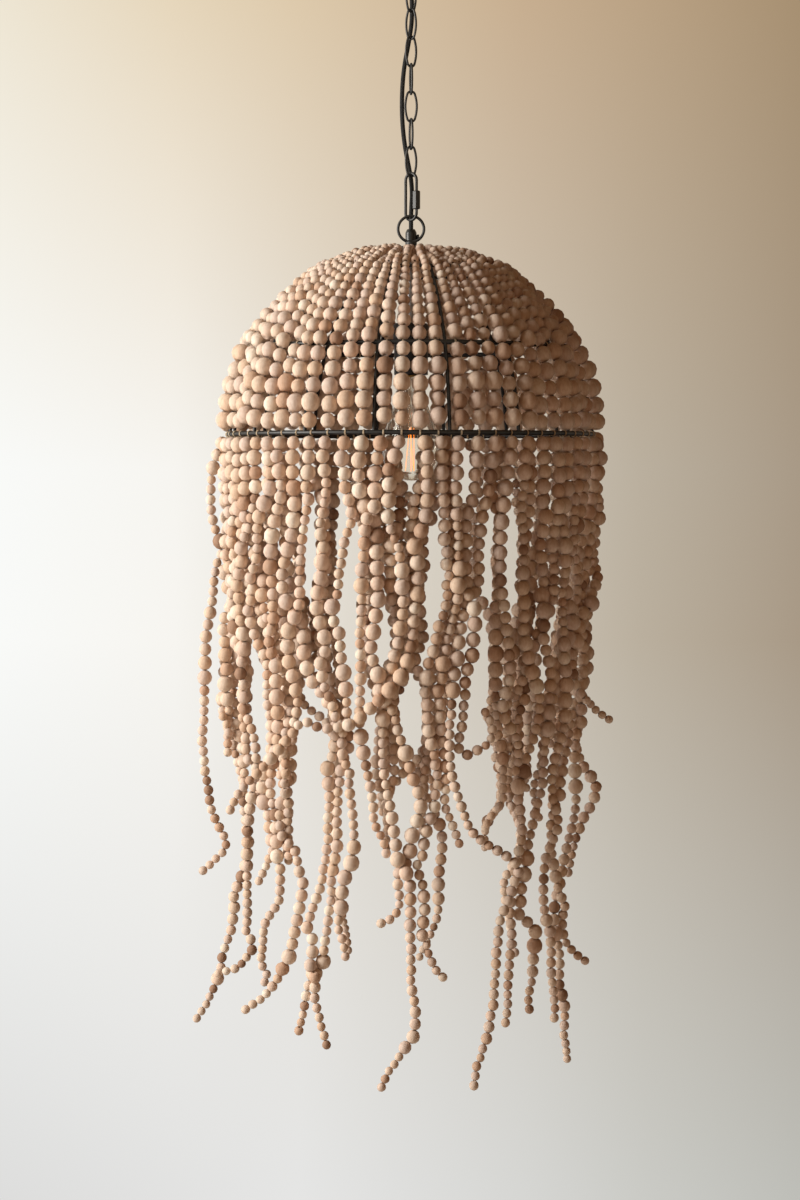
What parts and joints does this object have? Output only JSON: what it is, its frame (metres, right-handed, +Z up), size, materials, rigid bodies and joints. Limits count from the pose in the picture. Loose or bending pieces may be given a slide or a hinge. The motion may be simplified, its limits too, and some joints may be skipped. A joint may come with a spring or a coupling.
{
  "type": "beaded chandelier",
  "caption": "Ceiling pendant lamp with a ribbed dome and a long swaying skirt of strung wooden beads, hung from a canopy by a chain.",
  "frame": {"origin": "middle of the ceiling plate's upper face, on the ceiling", "axes": "+Z up along the chain towards the ceiling, the front that faces the viewer is -Y, +X to the viewer's right"},
  "size_m": [0.465, 0.4362, 1.2973],
  "materials": {
    "black_iron": "black painted iron, satin",
    "zinc": "zinc plated steel",
    "black_plastic": "black moulded plastic",
    "brass": "plain brass",
    "clear_glass": "clear glass",
    "filament": "glowing filament wire",
    "wooden_beads": "raw turned wooden beads on thread"
  },
  "bodies": {
    "mounting": {"ceiling_plate": "zinc", "ceiling_screw_left": "zinc", "ceiling_screw_right": "zinc", "ceiling_canopy": "black_iron", "canopy_loop": "black_iron", "lamp_cord": "black_plastic"},
    "chain_link_1": {"chain_link_1": "black_iron"},
    "chain_link_2": {"chain_link_2": "black_iron"},
    "chain_link_3": {"chain_link_3": "black_iron"},
    "chain_link_4": {"chain_link_4": "black_iron"},
    "chain_link_5": {"chain_link_5": "black_iron"},
    "chain_link_6": {"chain_link_6": "black_iron"},
    "chain_link_7": {"chain_link_7": "black_iron"},
    "chain_link_8": {"chain_link_8": "black_iron"},
    "quick_link": {"quick_link": "black_iron"},
    "quick_link_nut": {"quick_link_nut": "black_iron"},
    "shade": {"hanging_ring": "black_iron", "cord_grip": "black_plastic", "grip_screw": "black_plastic", "top_hub": "black_iron", "threaded_tube": "zinc", "hex_nut": "zinc", "socket_cap": "black_plastic", "socket_shell": "black_plastic", "dome_frame": "black_iron", "bead_panel_01": "wooden_beads", "bead_panel_02": "wooden_beads", "bead_panel_03": "wooden_beads", "bead_panel_04": "wooden_beads", "bead_panel_05": "wooden_beads", "bead_panel_06": "wooden_beads", "bead_panel_07": "wooden_beads", "bead_panel_08": "wooden_beads", "bead_panel_09": "wooden_beads", "bead_panel_10": "wooden_beads", "bead_panel_11": "wooden_beads", "bead_panel_12": "wooden_beads", "bead_panel_13": "wooden_beads", "bead_panel_14": "wooden_beads", "bead_panel_15": "wooden_beads", "bead_panel_16": "wooden_beads"},
    "bulb": {"bulb_base": "brass", "bulb_glass": "clear_glass", "bulb_filament": "filament"},
    "skirt_leg_1": {"skirt_leg_1": "wooden_beads"},
    "skirt_leg_2": {"skirt_leg_2": "wooden_beads"},
    "skirt_leg_3": {"skirt_leg_3": "wooden_beads"},
    "skirt_leg_4": {"skirt_leg_4": "wooden_beads"},
    "skirt_leg_5": {"skirt_leg_5": "wooden_beads"},
    "skirt_leg_6": {"skirt_leg_6": "wooden_beads"},
    "skirt_leg_7": {"skirt_leg_7": "wooden_beads"},
    "skirt_leg_8": {"skirt_leg_8": "wooden_beads"}
  },
  "joints": [
    {"name": "chain_swing_1", "type": "hinge", "parent": "mounting", "child": "chain_link_1", "pos_m": [0, 0, -0.0653], "axis": [1, 0, 0], "range_deg": [-12, 12], "deforming": ["lamp_cord"]},
    {"name": "chain_swing_2", "type": "hinge", "parent": "chain_link_1", "child": "chain_link_2", "pos_m": [0, 0, -0.0953], "axis": [0.342, -0.9397, 0], "range_deg": [-12, 12], "deforming": ["lamp_cord"]},
    {"name": "chain_swing_3", "type": "hinge", "parent": "chain_link_2", "child": "chain_link_3", "pos_m": [0, 0, -0.1258], "axis": [0.8192, 0.5736, 0], "range_deg": [-12, 12], "deforming": ["lamp_cord"]},
    {"name": "chain_swing_4", "type": "hinge", "parent": "chain_link_3", "child": "chain_link_4", "pos_m": [0, 0, -0.1563], "axis": [0.848, -0.5299, 0], "range_deg": [-12, 12], "deforming": ["lamp_cord"]},
    {"name": "chain_swing_5", "type": "hinge", "parent": "chain_link_4", "child": "chain_link_5", "pos_m": [0, 0, -0.1868], "axis": [0.8829, 0.4695, 0], "range_deg": [-12, 12], "deforming": ["lamp_cord"]},
    {"name": "chain_swing_6", "type": "hinge", "parent": "chain_link_5", "child": "chain_link_6", "pos_m": [0, 0, -0.2173], "axis": [-0.1736, 0.9848, 0], "range_deg": [-12, 12], "deforming": ["lamp_cord"]},
    {"name": "chain_swing_7", "type": "hinge", "parent": "chain_link_6", "child": "chain_link_7", "pos_m": [0, 0, -0.2478], "axis": [0.9962, 0.0872, 0], "range_deg": [-12, 12], "deforming": ["lamp_cord"]},
    {"name": "chain_swing_8", "type": "hinge", "parent": "chain_link_7", "child": "chain_link_8", "pos_m": [0, 0, -0.2783], "axis": [-0.2588, 0.9659, 0], "range_deg": [-12, 12], "deforming": ["lamp_cord"]},
    {"name": "quick_link_swing", "type": "hinge", "parent": "chain_link_8", "child": "quick_link", "pos_m": [0, 0, -0.3088], "axis": [0.9063, 0.4226, 0], "range_deg": [-12, 12], "deforming": ["lamp_cord"]},
    {"name": "shade_swing", "type": "hinge", "parent": "quick_link", "child": "shade", "pos_m": [0, 0, -0.3574], "axis": [0.7547, -0.6561, 0], "range_deg": [-12, 12], "deforming": ["lamp_cord"]},
    {"name": "quick_link_nut_travel", "type": "slide", "parent": "quick_link", "child": "quick_link_nut", "axis": [0, 0, 1], "range_m": [0, 0.011]},
    {"name": "bulb_turn", "type": "hinge", "parent": "shade", "child": "bulb", "pos_m": [0, 0, -0.52], "axis": [0, 0, -1], "range_deg": [0, 1080]},
    {"name": "skirt_swing_1", "type": "hinge", "parent": "shade", "child": "skirt_leg_1", "pos_m": [0, -0.205, -0.59725], "axis": [-1, 0, 0], "range_deg": [-0.5, 12]},
    {"name": "skirt_swing_2", "type": "hinge", "parent": "shade", "child": "skirt_leg_2", "pos_m": [0.14496, -0.14496, -0.59725], "axis": [-0.7071, -0.7071, 0], "range_deg": [-0.5, 12]},
    {"name": "skirt_swing_3", "type": "hinge", "parent": "shade", "child": "skirt_leg_3", "pos_m": [0.205, 0, -0.59725], "axis": [0, -1, 0], "range_deg": [-0.5, 12]},
    {"name": "skirt_swing_4", "type": "hinge", "parent": "shade", "child": "skirt_leg_4", "pos_m": [0.14496, 0.14496, -0.59725], "axis": [0.7071, -0.7071, 0], "range_deg": [-0.5, 12]},
    {"name": "skirt_swing_5", "type": "hinge", "parent": "shade", "child": "skirt_leg_5", "pos_m": [0, 0.205, -0.59725], "axis": [1, 0, 0], "range_deg": [-0.5, 12]},
    {"name": "skirt_swing_6", "type": "hinge", "parent": "shade", "child": "skirt_leg_6", "pos_m": [-0.14496, 0.14496, -0.59725], "axis": [0.7071, 0.7071, 0], "range_deg": [-0.5, 12]},
    {"name": "skirt_swing_7", "type": "hinge", "parent": "shade", "child": "skirt_leg_7", "pos_m": [-0.205, 0, -0.59725], "axis": [0, 1, 0], "range_deg": [-0.5, 12]},
    {"name": "skirt_swing_8", "type": "hinge", "parent": "shade", "child": "skirt_leg_8", "pos_m": [-0.14496, -0.14496, -0.59725], "axis": [-0.7071, 0.7071, 0], "range_deg": [-0.5, 12]}
  ]
}
